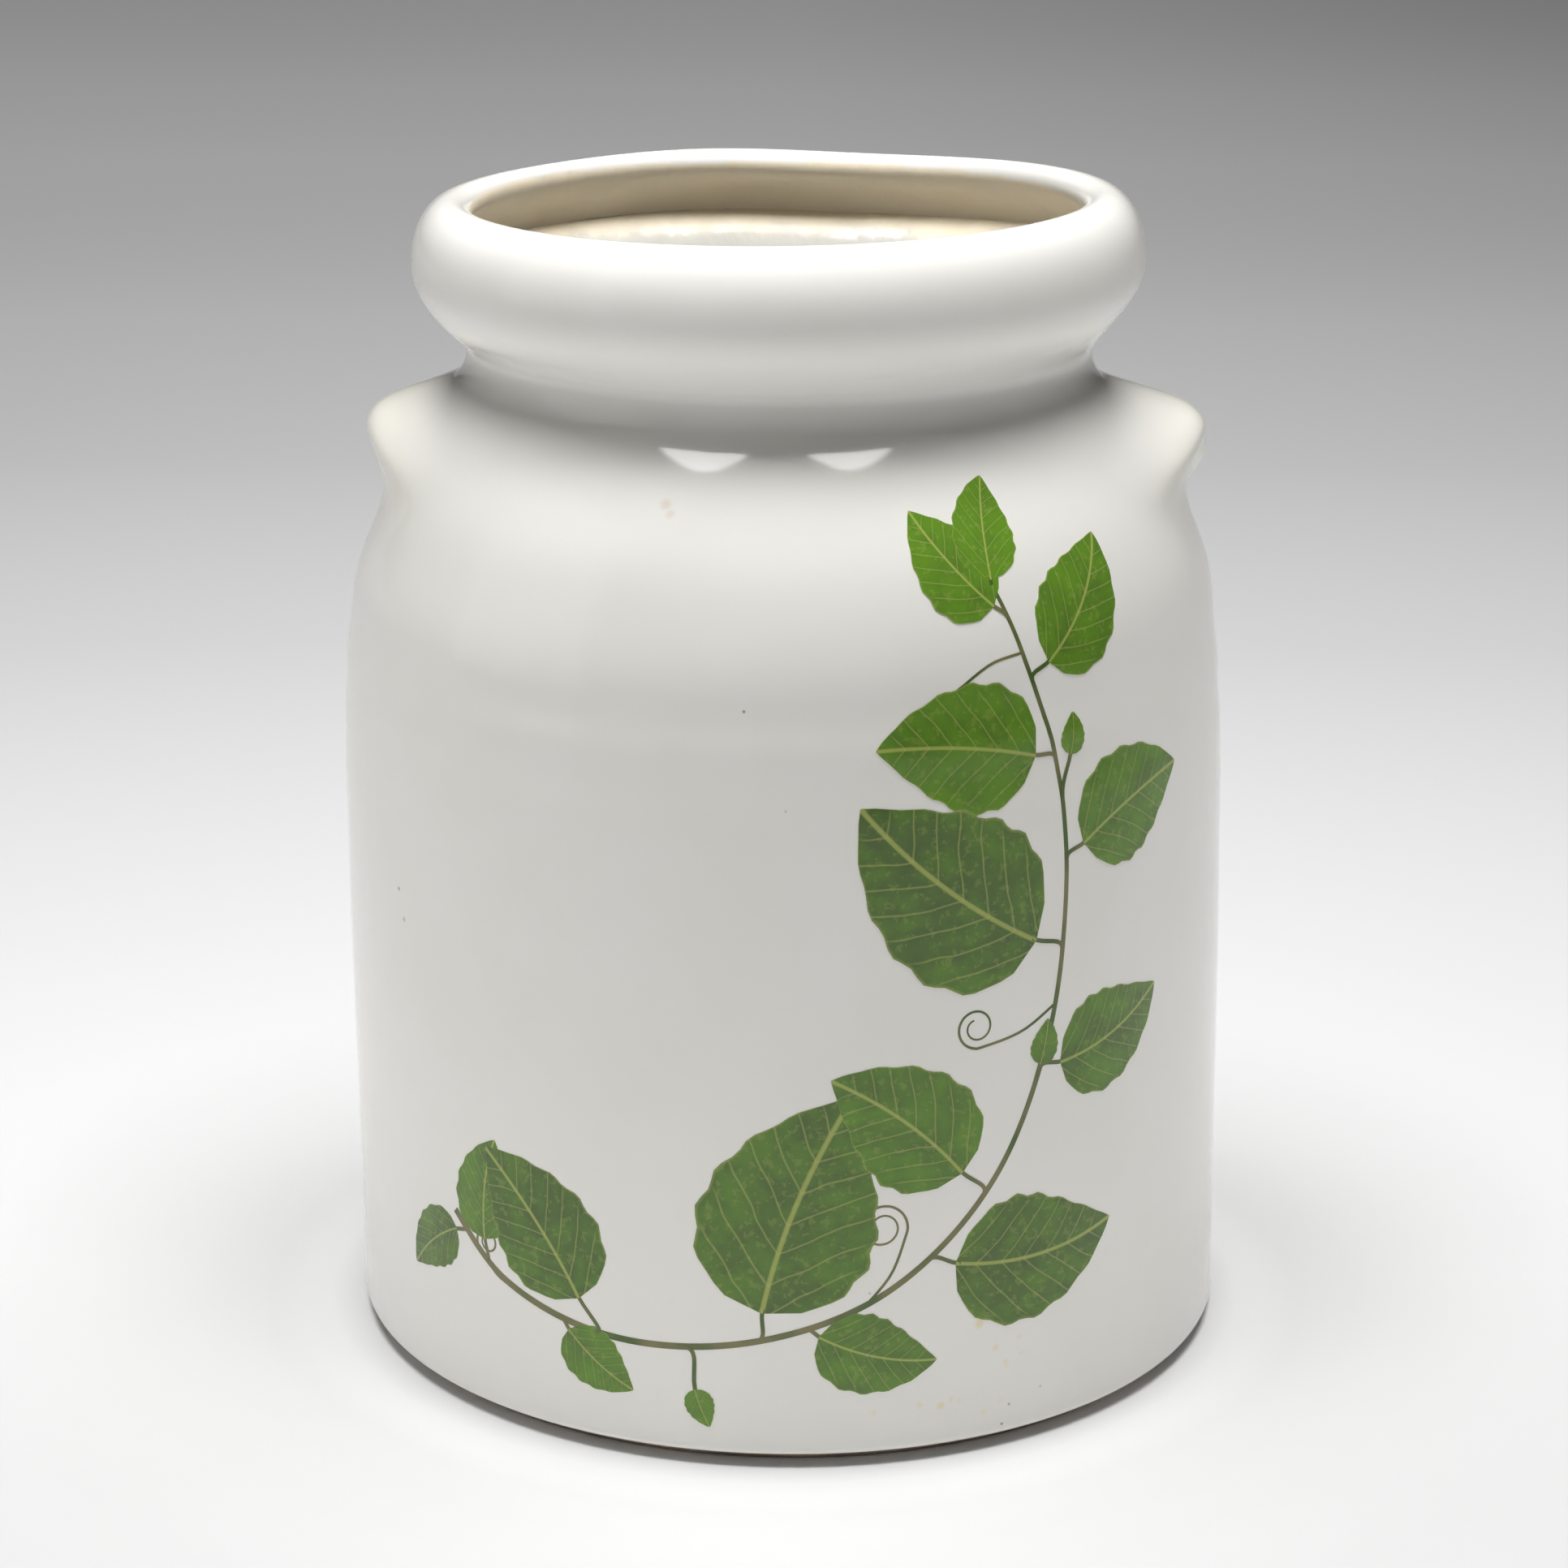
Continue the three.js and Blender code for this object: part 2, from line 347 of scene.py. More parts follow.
class Wire:
    # a node's output, with arithmetic that adds Math nodes
    def __init__(self, shader, socket):
        self.shader = shader
        self.socket = socket

    def maths(self, operation, *values):
        return self.shader.node("ShaderNodeMath", {"operation": operation}, dict(enumerate(values)))[0]

    def __add__(self, other):
        return self.maths("ADD", self, other)

    def __radd__(self, other):
        return self.maths("ADD", other, self)

    def __sub__(self, other):
        return self.maths("SUBTRACT", self, other)

    def __rsub__(self, other):
        return self.maths("SUBTRACT", other, self)

    def __mul__(self, other):
        return self.maths("MULTIPLY", self, other)

    def __rmul__(self, other):
        return self.maths("MULTIPLY", other, self)

    def __truediv__(self, other):
        return self.maths("DIVIDE", self, other)

    def __rtruediv__(self, other):
        return self.maths("DIVIDE", other, self)

    def __pow__(self, other):
        return self.maths("POWER", self, other)

    def __abs__(self):
        return self.maths("ABSOLUTE", self)

    def rise(self, low, high):
        # 0 below low, 1 above high, smooth between
        sockets = {"Value": self, "From Min": low, "From Max": high}
        settings = {"interpolation_type": "SMOOTHSTEP"}
        return self.shader.node("ShaderNodeMapRange", settings, sockets)["Result"]


class Shader:
    def __init__(self, name):
        self.material = bpy.data.materials.new(name)
        self.material.use_nodes = True
        self.tree = self.material.node_tree
        self.tree.nodes.clear()

    def node(self, kind, settings=None, sockets=None):
        # adds a node and gives its outputs, by number or name
        made = self.tree.nodes.new(kind)
        for key, value in (settings or {}).items():
            if key == "stops":
                ramp = made.color_ramp.elements
                while len(ramp) < len(value):
                    ramp.new(1)
                for stop, (position, colour) in zip(ramp, value):
                    stop.position = position
                    stop.color = (*colour, 1)
            else:
                setattr(made, key, value)
        for key, value in (sockets or {}).items():
            if isinstance(value, Wire):
                self.tree.links.new(value.socket, made.inputs[key])
            else:
                made.inputs[key].default_value = value
        wires = {output.name: Wire(self, output) for output in reversed(made.outputs) if output.enabled}
        wires.update({i: Wire(self, output) for i, output in enumerate(made.outputs)})
        return wires

    def place(self):
        return self.node("ShaderNodeTexCoord")["Object"]

    def parts(self, vector):
        found = self.node("ShaderNodeSeparateXYZ", None, {0: vector})
        return found["X"], found["Y"], found["Z"]

    def mix(self, factor, low, high):
        low, high = ((*c, 1) if isinstance(c, tuple) else c for c in (low, high))
        return self.node("ShaderNodeMix", {"data_type": "RGBA"}, {0: factor, 6: low, 7: high})[2]

    def noise(self, vector, scale, detail=2, roughness=0.5):
        sockets = {"Vector": vector, "Scale": scale, "Detail": detail, "Roughness": roughness}
        return self.node("ShaderNodeTexNoise", None, sockets)[0]

    def clouds(self, vector, scale, detail, low, high, roughness=0.5):
        # noise with soft limits
        return self.noise(vector, scale, detail, roughness).rise(low, high)

    def spots(self, place, marks, uneven, spread=1, core=0.25):
        # soft round spots on the front of the wall, each (mm to the right, height, size, strength)
        found = 0
        for across, z, size, strength in marks:
            ends = {0: place, 1: frontSkin(across, z)}
            far = self.node("ShaderNodeVectorMath", {"operation": "DISTANCE"}, ends)["Value"]
            spot = (1 - (far + uneven).rise(size * core * mm, size * spread * mm)) * strength
            found = spot.maths("MAXIMUM", spot, found)
        return found

    def stretch(self, vector, x, y, z):
        return self.node("ShaderNodeVectorMath", {"operation": "MULTIPLY"}, {0: vector, 1: (x, y, z)})[0]

    def finish(self, sockets):
        if "bump" in sockets:
            height, distance = sockets.pop("bump")
            bump = self.node("ShaderNodeBump", None, {"Height": height, "Distance": distance})
            sockets["Normal"] = bump["Normal"]
        sockets = {k: (*v, 1) if isinstance(v, tuple) and len(v) == 3 else v for k, v in sockets.items()}
        shaded = self.node("ShaderNodeBsdfPrincipled", None, sockets)["BSDF"]
        self.node("ShaderNodeOutputMaterial", None, {"Surface": shaded})
        return self.material


# in the looks below, places are in metres; a pair of values is where something starts and where it
# is full, and four values are a noise's scale and detail, then such a pair
glassIndex = 1.5

# white glaze: a little creamier on the ears, with pinholes and a faint mottle
glazeLook = {
    "white": (0.822, 0.808, 0.768),
    "shade": (0.805, 0.79, 0.745),
    "cream": (0.838, 0.82, 0.745),
    "pinhole": (0.16, 0.13, 0.10),
    "rust": (0.78, 0.655, 0.33),
    "rustSpread": 1.4,
    "blush": (0.66, 0.53, 0.44),
    "mottle": (38, 3, 0.35, 0.7),
    "creamSide": (0.066, 0.078),
    "creamBottom": (0.165, 0.176),
    "creamTop": (0.19, 0.198),
    "roughness": 0.055,
    "sheen": 0.03,
    "sheenScale": 25,
    "rippleScale": 60,
    "bump": 0.00006,
    # uneven edges of the flaws
    "edgeScale": 1500,
    "edgeReach": 0.0009,
    "holeEdge": 0.3,
    "holeShade": 0.85,
    "holeDent": -0.6,
    # cells of the back, few of them with a pinhole
    "cellScale": 120,
    "cellChosen": (0.965, 0.97),
    "cellHole": (0.025, 0.045),
    "backStart": (0.005, 0.02),
    # flaws on the front: mm to the right of the middle, height, size, strength
    "rustSpots": [
        (37.8, 26.6, 1.0, 0.7), (5.7, 24, 0.8, 0.7), (41.4, 21, 0.75, 0.45), (43.6, 17.4, 0.6, 0.4),
        (43.7, 16.5, 0.5, 0.3), (46.7, 22.1, 0.6, 0.3), (47.1, 18.6, 0.5, 0.3), (29.8, 10.9, 0.8, 0.6),
        (25.6, 11.5, 0.65, 0.5), (31.9, 11.9, 0.6, 0.4), (16.4, 10.9, 0.6, 0.4), (17.8, 14.5, 0.5, 0.2),
        (38.8, 7.9, 0.7, 0.3), (42.6, 9.7, 0.6, 0.2), (33.6, 11.2, 0.6, 0.2),
    ],
    "pinholes": [
        (-7.1, 149.1, 0.42, 0.9), (0.7, 130.9, 0.35, 0.4), (-88.3, 102.5, 0.6, 0.7), (-86.4, 96.8, 0.7, 0.5),
        (25.1, 18.8, 0.6, 0.35), (15.8, 35.7, 0.4, 0.4), (44.4, 8.4, 0.45, 0.7), (42.8, 4.6, 0.45, 0.9),
        (51.7, 10.4, 0.4, 0.5),
    ],
    "blushes": [(-25.6, 183.6, 1.6, 0.4), (-24.2, 182.2, 1.3, 0.35)],
}


def makeGlaze():
    look = glazeLook
    shader = Shader("white_glaze")
    place = shader.place()
    x, y, z = shader.parts(place)
    colour = shader.mix(shader.clouds(place, *look["mottle"]), look["white"], look["shade"])
    creamy = abs(x).rise(*look["creamSide"]) * z.rise(*look["creamBottom"]) * (1 - z.rise(*look["creamTop"]))
    colour = shader.mix(creamy, colour, look["cream"])
    uneven = (shader.noise(place, look["edgeScale"], 2) - 0.5) * look["edgeReach"]
    colour = shader.mix(shader.spots(place, look["blushes"], uneven), colour, look["blush"])
    rusty = shader.spots(place, look["rustSpots"], uneven, look["rustSpread"])
    colour = shader.mix(rusty, colour, look["rust"])
    # more pinholes here and there, on the back only
    sockets = {"Vector": place, "Scale": look["cellScale"], "Randomness": 1}
    cells = shader.node("ShaderNodeTexVoronoi", None, sockets)
    chosen = shader.parts(cells["Color"])[0].rise(*look["cellChosen"]) * y.rise(*look["backStart"])
    hole = chosen * (1 - cells["Distance"].rise(*look["cellHole"]))
    hole = hole.maths("MAXIMUM", hole, shader.spots(place, look["pinholes"], uneven * look["holeEdge"]))
    colour = shader.mix(hole * look["holeShade"], colour, look["pinhole"])
    ripple = shader.noise(place, look["rippleScale"], 2) + hole * look["holeDent"]
    return shader.finish({
        "Base Color": colour,
        "Roughness": shader.noise(place, look["sheenScale"], 2) * look["sheen"] + look["roughness"],
        "IOR": glassIndex,
        "bump": (ripple, look["bump"]),
    })


# inside glaze: cream, tan and uneven where it ran down under the lip; from the ledge below the hollow upwards
# it has painted shade, a darker grey in place of the cream
insideLook = {
    "cream": (0.86, 0.845, 0.80),
    "tan": (0.90, 0.79, 0.60),
    # painted shade: the darker grey of the inside from the ledge below the hollow upwards
    "ledge": (0.62, 0.605, 0.56),
    "roughness": 0.1,
    "paintedShadeStart": (0.195, 0.205),
    "runStart": (0.2115, 0.2155),
    "runEnd": (0.2275, 0.2295),
    # streaks, drawn out downwards
    "streaks": (90, 4, 0.6),
    "streakStretch": 0.35,
    "streakReach": 0.006,
    "tanShare": (0.75, 0.25),  # even, and with the streaks
    "streakRoughness": 0.08,
    "tanRoughness": 0.3,
    "bump": 0.0006,
}


def makeInside():
    look = insideLook
    shader = Shader("inner_glaze")
    place = shader.place()
    x, y, z = shader.parts(place)
    streaks = shader.noise(shader.stretch(place, 1, 1, look["streakStretch"]), *look["streaks"])
    depth = z + (streaks - 0.5) * look["streakReach"]
    tan = depth.rise(*look["runStart"]) * (1 - depth.rise(*look["runEnd"]))
    # painted shade: from the ledge upwards the cream turns to a darker grey
    colour = shader.mix(z.rise(*look["paintedShadeStart"]), look["cream"], look["ledge"])
    even, streaky = look["tanShare"]
    colour = shader.mix(tan * (even + streaky * streaks), colour, look["tan"])
    return shader.finish({
        "Base Color": colour,
        "Roughness": streaks * look["streakRoughness"] + tan * look["tanRoughness"] + look["roughness"],
        "IOR": glassIndex,
        "bump": (streaks, look["bump"]),
    })


# bare clay: sandy brown with grains
clayLook = {
    "light": (0.40, 0.30, 0.21),
    "dark": (0.22, 0.155, 0.105),
    "grain": (0.10, 0.07, 0.05),
    "mottle": (70, 4, 0.3, 0.7),
    "grains": (900, 2, 0.62, 0.72),
    "grainShade": 0.7,
    "sandScale": 600,
    "heightShare": (0.7, 0.3),  # of the sand and the grains
    "roughness": 0.82,
    "grainRoughness": 0.1,
    "bump": 0.0003,
}


def makeClay():
    look = clayLook
    shader = Shader("bare_foot")
    place = shader.place()
    mottle = shader.clouds(place, *look["mottle"])
    grain = shader.clouds(place, *look["grains"])
    colour = shader.mix(mottle, look["light"], look["dark"])
    colour = shader.mix(grain * look["grainShade"], colour, look["grain"])
    sandy, grainy = look["heightShare"]
    height = shader.noise(place, look["sandScale"], 3) * sandy + grain * grainy
    return shader.finish({
        "Base Color": colour,
        "Roughness": look["roughness"] + grain * look["grainRoughness"],
        "bump": (height, look["bump"]),
    })


glaze, inside, clay = makeGlaze(), makeInside(), makeClay()
print("materials made")

# straight wall, shoulder and neck collar: lower seam, upper seam, steps up the outside and up the inside
walls = {
    "body_wall": ("footHeight", "wallSeam", 2, 3),
    "shoulder": ("wallSeam", "collarSeam", 1, 2),
    "neck_collar": ("collarSeam", "rollSeam", 0.5, 1),
}
heel = {"turn": 10, "gap": 0.3}  # degrees between the rows of its round, and the space left above them


def makeWall(name, low, high, outStep, inStep):
    heights = levels(low, high, outStep)
    if low < heelTop:
        turn = [math.radians(a) for a in range(heel["turn"], 90 + heel["turn"], heel["turn"])]
        rounded = [low + crock["heelRound"] * (1 - math.cos(a)) for a in turn]
        heights = [low] + rounded + [z for z in heights if z > heelTop + heel["gap"]]
    outside = [(outerRadius(z), z) for z in heights]
    within = [(innerRadius(z), z) for z in reversed(levels(low, high, inStep))]
    bm = spunBand(outside, within)
    paintInside(bm, halfWall)
    shapeWall(bm, halfWall)
    return addPiece(name + "_glazed", bm, [glaze, inside], [name])


for name, (lower, upper, outStep, inStep) in walls.items():
    makeWall(name, crock[lower], crock[upper], outStep, inStep)

# rolled rim, in millimetres: full outside, rounded lip, hollow inside where the glaze gathered in drips
roll = {
    "below": 17,
    "above": 13,
    "curl": 3.9,
    "curlSteps": 8,
    "curlStrip": 0.01,
    "flare": 46.5,
    "lipRadius": 3.2,
    "lipReach": 60.4,
    "lipTurn": 9,
    "fold": 4.8,
    "points": 22,  # on each curve of the outline
    # how far the curves' handles reach, as shares of below and above, from the roll's foot up, over and in
    "pull": {
        "foot": 0.23, "full": 0.385, "over": 0.55, "top": 0.35,
        "lip": 0.25, "hollow": 0.35, "fold": 0.04, "neck": 0.6,
    },
    # the mouth's inner edge is a little squared
    "square": 0.7,
    "squareStart": (212, 222),
    # drips: their share round and up the crock, reach, and where they start and end
    "dripRound": 9,
    "dripRise": 0.06,
    "drip": 0.5,
    "fineDrip": 0.25,
    "fineness": 2.3,
    "dripStart": (203, 208),
    "dripEnd": (221, 225),
    "dripEdge": 3,
    # the rim's back is pulled up a little to the left and down to the right
    "warp": 0.8,
    "warpWave": 18,
    "warpWidth": 50,
    "warpDepth": (0, 40),
    "warpStart": (203, 220),
    "uneven": 0.12,
    "unevenRound": 1.7,
    "unevenRise": 0.05,
    # faces that turn inwards or lie level inside the hollow have the inside glaze
    "turnedIn": -0.2,
    "level": 0.3,
}


def rimProfile():
    seam, below, above, pull = crock["rollSeam"], roll["below"], roll["above"], roll["pull"]
    middle = seam + below
    top = middle + above
    lipRadius, lipReach, radius = roll["lipRadius"], roll["lipReach"], crock["rollRadius"]
    hollow = radius - crock["wallThickness"]
    lipOut = lipReach + lipRadius
    curl = crock["neckRadius"] + roll["curl"]
    flare = math.radians(roll["flare"])

    # the curl at the roll's foot, from the seam up, with a narrow strip first
    steps = roll["curlSteps"]
    turns = [0, roll["curlStrip"]] + [flare * i / steps for i in range(1, steps + 1)]
    foot = [(curl - roll["curl"] * math.cos(a), seam + roll["curl"] * math.sin(a)) for a in turns]
    outX, outZ = foot[-1]
    across, up = math.sin(flare) * below, math.cos(flare) * below
    neckIn = innerRadius(seam)
    curves = [
        ((outX, outZ), (outX + across * pull["foot"], outZ + up * pull["foot"]),
         (radius, middle - below * pull["full"]), (radius, middle)),
        ((radius, middle), (radius, middle + above * pull["over"]),
         (lipOut + above * pull["top"], top), (lipOut, top)),
        ((lipReach, top - lipRadius), (lipReach, top - lipRadius - above * pull["lip"]),
         (hollow, middle + above * pull["hollow"]), (hollow, middle)),
        ((hollow, middle), (hollow - roll["fold"], middle - below * pull["fold"]),
         (neckIn, seam + below * pull["neck"]), (neckIn, seam)),
    ]
    shares = [i / roll["points"] for i in range(roll["points"])]
    rows = [[bezier(curve, t) for t in shares] for curve in curves]
    turn = [math.radians(a) for a in range(90, 180, roll["lipTurn"])]
    lip = [(lipOut + lipRadius * math.cos(a), top - lipRadius + lipRadius * math.sin(a)) for a in turn]
    strip = [(neckIn, seam + crock["seamStrip"]), (neckIn, seam)]
    return foot[:-1] + rows[0] + rows[1] + lip, rows[2] + rows[3] + strip


def rimInward(radius, angle, z, insideEdge):
    # how much nearer to the middle the clay or the glaze reaches
    atLip = 1 - smooth(radius, roll["lipReach"], roll["lipReach"] + roll["lipRadius"])
    inward = roll["square"] * math.cos(4 * angle) * smooth(z, *roll["squareStart"]) * atLip
    if radius < insideEdge:
        deep = smooth(z, *roll["dripStart"]) * (1 - smooth(z, *roll["dripEnd"]))
        place = around(angle, roll["dripRound"], z * roll["dripRise"])
        coarse = noise.noise(place) * roll["drip"]
        inward += (coarse + noise.noise(place * roll["fineness"]) * roll["fineDrip"]) * deep
    return inward


def rimLift(x, y, angle, z):
    place = around(angle, roll["unevenRound"], z * roll["unevenRise"])
    uneven = noise.noise(place) * roll["uneven"] - roll["uneven"]
    pulled = -roll["warp"] * math.sin(x / roll["warpWave"]) * bell(x, 0, roll["warpWidth"])
    return smooth(z, *roll["warpStart"]) * (uneven + pulled * smooth(y, *roll["warpDepth"]))


def makeRim():
    bm = spunBand(*rimProfile())
    hollow = crock["rollRadius"] - crock["wallThickness"]
    insideEdge = (hollow + crock["rollRadius"]) / 2 - roll["dripEdge"]
    for vert in bm.verts:
        x, y, z = vert.co
        radius = math.hypot(x, y)
        angle = math.atan2(y, x)
        inward = rimInward(radius, angle, z, insideEdge)
        x, y = x * (1 - inward / radius), y * (1 - inward / radius)
        vert.co = settled(x, y, z + rimLift(x, y, angle, z))
    bmesh.ops.recalc_face_normals(bm, faces=bm.faces)
    for face in bm.faces:
        middle = face.calc_center_median()
        facing = face.normal.dot(Vector((middle.x, middle.y, 0)).normalized())
        onLedge = face.normal.z > roll["level"] and math.hypot(middle.x, middle.y) / mm < hollow
        if (facing < roll["turnedIn"] or onLedge) and middle.z < insideLook["runEnd"][0]:
            face.material_index = 1
    return addPiece("rolled_rim_glazed", bm, [glaze, inside], ["rolled_rim"])


makeRim()
print("wall and rim made")


# ears: a ball's front half becomes the outside, its back half the side that is luted to the wall
def makeEar(side):
    ear = ears[side]
    bm = bmesh.new()
    bmesh.ops.create_uvsphere(bm, u_segments=ears["round"], v_segments=ears["rings"], radius=1,
                              matrix=Matrix.Rotation(math.pi / 2, 4, "Y"))
    for vert in bm.verts:
        ball = vert.co.copy()
        heading = math.atan2(ball.z, ball.y)
        alongAngle = math.cos(heading) * ears["halfAngle"]
        alongHeight = math.sin(heading) * (ears["rise"] if ball.z > 0 else ears["drop"] + ears["sag"])

        def swellAt(share):
            return earSwell(share * alongAngle, ears["height"] + share * alongHeight, ear)

        reach = findZero(lambda share: ears["thinnest"] - swellAt(share), 0, 1)
        outward = min(1, math.acos(min(1, abs(ball.x))) / (math.pi / 2))
        share = outward * reach
        z = ears["height"] + share * alongHeight
        angle = math.radians(share * alongAngle + ear["turn"])
        isFront = ball.x > -1e-6  # the row between the halves belongs to the front
        proud = swellAt(share) if isFront else -ears["sunk"] * math.sqrt(max(0, 1 - outward ** 2))
        vert.co = skin(angle, z, proud)
    bmesh.ops.recalc_face_normals(bm, faces=bm.faces)
    return addPiece("ear_" + side + "_glazed", bm, [glaze], ["ear_" + side])


makeEar("right")
makeEar("left")
print("ears made")

# floor disc with its cove and a faint spiral, in millimetres
floorDisc = {
    "thickness": 8,
    "cove": 4,
    "coveEdge": 0.8,
    "coveTurn": 9,
    "gap": 0.3,
    "rows": 20,
    "swirl": 0.12,
    "swirlTurn": 0.45,
    "swirlStart": (2, 12),
    "swirlEdge": 6,
    "swirlDepth": 1,
}


def makeFloor():
    bottom = crock["footHeight"]
    top = bottom + floorDisc["thickness"]
    edge = innerRadius(bottom) - floorDisc["gap"]
    cove, rows = floorDisc["cove"], floorDisc["rows"]
    start = edge - floorDisc["coveEdge"] - cove
    turn = [math.radians(a) for a in range(0, 91, floorDisc["coveTurn"])]
    hollow = [(start + cove * math.cos(a), top + cove - cove * math.sin(a)) for a in turn]
    flat = [(hollow[-1][0] * (1 - i / rows), top) for i in range(1, rows + 1)]
    bm = bmesh.new()
    spin(bm, [(0, bottom), (edge, bottom), (edge, top + cove)] + hollow + flat, False, crock["turns"] // 2)
    for vert in bm.verts:
        x, y, z = vert.co
        radius = math.hypot(x, y)
        if z > bottom + floorDisc["swirlDepth"] and radius < edge - floorDisc["swirlEdge"]:
            wave = floorDisc["swirl"] * math.sin(radius * floorDisc["swirlTurn"] - math.atan2(y, x))
            z += wave * smooth(radius, *floorDisc["swirlStart"])
        vert.co = settled(x, y, z)
    bmesh.ops.recalc_face_normals(bm, faces=bm.faces)
    return addPiece("floor_disc_glazed", bm, [inside], ["floor_disc"])


# bare foot ring, in millimetres
footRing = {
    "outer": 85,
    "width": 9,
    "bevel": 0.5,
    "bevelBulge": 0.3,
    "rough": 0.06,
    "roughScale": 0.35,
    "flatEdge": 0.05,  # its lower and upper faces stay flat
    "sharpness": 30,
}


def makeFoot():
    outer, bevel, height = footRing["outer"], footRing["bevel"], crock["footHeight"]
    inner = outer - footRing["width"]
    bulge = bevel * footRing["bevelBulge"]
    bm = spunBand(
        [(inner + bevel, 0), (outer - bevel, 0), (outer - bulge, bulge), (outer, bevel), (outer, height)],
        [(inner, height), (inner, bevel), (inner + bulge, bulge)],
    )
    for vert in bm.verts:
        x, y, z = vert.co
        isSide = footRing["flatEdge"] < z < height - footRing["flatEdge"]
        chip = noise.noise(Vector((x, y, z)) * footRing["roughScale"]) * footRing["rough"] if isSide else 0
        moved = 1 + chip / math.hypot(x, y)
        vert.co = settled(x * moved, y * moved, z)
    return addPiece("foot_ring_bare", bm, [clay], ["foot_ring"], footRing["sharpness"])


makeFloor()
makeFoot()
print("floor and foot made")

# fired print, in millimetres: leaves, buds, stems and tendrils of a plain garland, flat on the wall
garland = {
    # to the right of the front's middle, and up along the wall
    "stem": [(-72, 42), (-58, 31), (-34, 25), (-6, 27), (20, 37), (41, 57), (53, 84), (57, 112), (55, 137),
             (48, 158), (43, 171)],
    # share of the stem, stalk, heading in degrees from the right upwards, length, width, bend, tone
    "leaves": [
        (0.03, 3, 205, 19, 12, 0.5, 0.3), (0.07, 4, 95, 22, 15, -0.5, 0.55),
        (0.155, 3, -48, 17, 12, 0.4, 0.7), (0.185, 7, 118, 34, 24, 0.4, 0.25),
        (0.30, 6, 78, 47, 34, -0.35, 0.35), (0.335, 3, -30, 24, 16, 0.5, 0.5),
        (0.43, 6, -12, 37, 26, 0.5, 0.3), (0.485, 7, 128, 33, 24, 0.45, 0.6),
        (0.575, 5, 5, 29, 20, 0.5, 0.45), (0.655, 7, 152, 46, 33, -0.4, 0.3),
        (0.72, 5, 30, 31, 22, -0.4, 0.6), (0.80, 5, 163, 33, 24, 0.35, 0.8),
        (0.87, 5, 38, 29, 20, 0.4, 0.75), (0.94, 4, 138, 24, 17, -0.4, 0.9),
        (1.0, 1, 88, 21, 14, -0.5, 0.95),
    ],
    "buds": [
        (0.25, 9, -75, 8, 5.5, 0.2, 0.75), (0.545, 10, 70, 9, 6, 0.3, 0.6), (0.765, 9, 75, 8, 5.5, 0.3, 0.9),
    ],
    # share of the stem, heading, reach before the curl, size of the curl, turns
    "tendrils": [
        (0.38, 60, 15, 5, 1.6), (0.62, 200, 17, 4.2, -1.5),
        (0.90, 200, 14, 3.6, 1.5), (0.115, 150, 11, 3, -1.4),
    ],
    # widths at the root and the tip
    "stemWidth": (1.5, 0.8),
    "stalkWidth": (0.8, 0.8),
    "tendrilWidth": (0.55, 0.33),
    # faces along each part, and across a leaf
    "stemFaces": 160,
    "stalkFaces": 10,
    "tendrilFaces": 90,
    "along": 26,
    "across": 10,
    "proud": 0.03,
    "layer": 0.004,  # each part lies that much above the last
    "sunk": 0.05,
    # a leaf is widest below its middle, with scalloped sides and a narrow flat edge
    "leafShape": (2.68, 0.55, 0.95),
    "scallop": 0.035,
    "scallopWaves": 38,
    "scallopStart": (1, 2.2),
    "leafEdge": 0.12,
    # how straight a stalk leaves the stem and meets its leaf, and how far it runs under it
    "stalkPull": (0.45, 0.4),
    "stalkOverlap": 1,
    "stalkSteps": 6,
    "tendrilBow": 1.2,
    "curlSteps": 18,
    "curlShrink": 0.62,
    "dark": (0.070, 0.120, 0.030),
    "bright": (0.125, 0.270, 0.022),
    "vein": (0.42, 0.46, 0.12),
    "stalk": (0.20, 0.185, 0.085),
}

# length of the wall's outline up to each whole height
arcs = [0]
for z in range(1, math.ceil(crock["shoulderTop"])):
    arcs.append(arcs[-1] + math.hypot(1, slopeOf(outerRadius, z - 0.5)))


def heightAt(arc):
    # height of the point that lies that far up the wall, measured along its outline
    i = bisect.bisect_right(arcs, arc) - 1
    return i + (arc - arcs[i]) / (arcs[i + 1] - arcs[i])


def through(points, t, last=0.9999):
    # smooth curve through all the points, t from 0 to 1
    place = min(last, max(0, t)) * (len(points) - 1)
    i = int(place)
    t = place - i
    a, b, c, d = (points[min(len(points) - 1, max(0, k))] for k in (i - 1, i, i + 1, i + 2))
    return tuple(
        0.5 * (2 * q + (r - p) * t + (2 * p - 5 * q + 4 * r - s) * t * t + (3 * q - p - 3 * r + s) * t ** 3)
        for p, q, r, s in zip(a, b, c, d)
    )


def heading(points, t, step=0.004):
    (u0, v0), (u1, v1) = through(points, t - step), through(points, t + step)
    return math.atan2(v1 - v0, u1 - u0)


def onwards(place, turn, length):
    return place[0] + length * math.cos(turn), place[1] + length * math.sin(turn)


def patch(bm, along, across, spot, proud, look, material):
    # thin closed sheet on the wall; spot(s, t) gives its place, look(s, t) the values for the colours
    made = bmesh.ops.create_grid(bm, x_segments=along, y_segments=across, size=1)["verts"]
    faces = list({face for vert in made for face in vert.link_faces})
    lifted = bmesh.ops.extrude_face_region(bm, geom=faces)["geom"]
    tops = {item for item in lifted if isinstance(item, bmesh.types.BMVert)}
    tone, edge = bm.verts.layers.float["tone"], bm.verts.layers.float["edge"]
    uv = bm.loops.layers.uv["leaf"]
    values = {}
    for vert in set(made) | tops:
        s, t = (vert.co.x + 1) / 2, vert.co.y
        u, v = spot(s, t)
        values[vert] = look(s, t)
        vert[tone], vert[edge] = values[vert][:2]
        vert.co = frontSkin(u, round(heightAt(v), 2), proud if vert in tops else -garland["sunk"])
    for face in {face for vert in values for face in vert.link_faces}:
        face.material_index = material
        for loop in face.loops:
            loop[uv].uv = values[loop.vert][2:]


